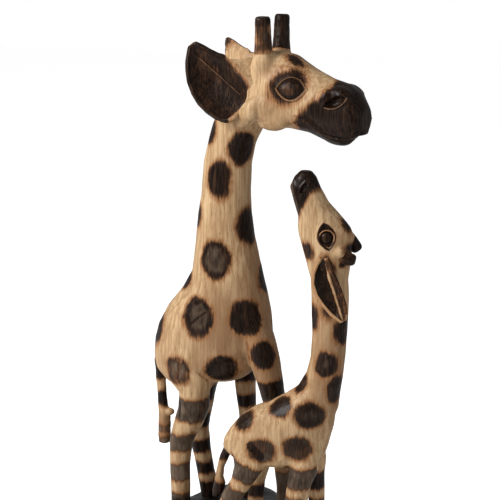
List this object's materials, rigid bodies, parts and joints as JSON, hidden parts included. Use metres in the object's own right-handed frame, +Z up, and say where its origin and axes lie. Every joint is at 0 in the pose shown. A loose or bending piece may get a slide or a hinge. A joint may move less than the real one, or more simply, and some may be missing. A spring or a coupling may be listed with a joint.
{
  "type": "carved giraffe statue",
  "caption": "Carved wooden mother giraffe and calf with burnt spots on a black mound base, with glued-in ears, horns and tails.",
  "frame": {"origin": "centre of the mound's flat underside", "axes": "+Z up, +X the way both animals' bodies face, +Y to their left"},
  "size_m": [0.2109, 0.17, 0.4993],
  "materials": {
    "carved_wood": "satin waxed, burnt spots",
    "scorched_wood": "scorched, satin",
    "black_stain": "black stain, satin",
    "dowel_wood": "bare"
  },
  "bodies": {
    "root": {"base": "black_stain", "mother_body": "carved_wood", "mother_horn_right": "scorched_wood", "mother_horn_left": "scorched_wood", "mother_ear_right": "scorched_wood", "mother_ear_left": "scorched_wood", "mother_tail": "carved_wood", "calf_body": "carved_wood", "calf_horn_right": "scorched_wood", "calf_horn_left": "scorched_wood", "calf_ear_right": "scorched_wood", "calf_ear_left": "scorched_wood", "calf_tail": "carved_wood", "foot_dowels": "dowel_wood"}
  },
  "joints": []
}
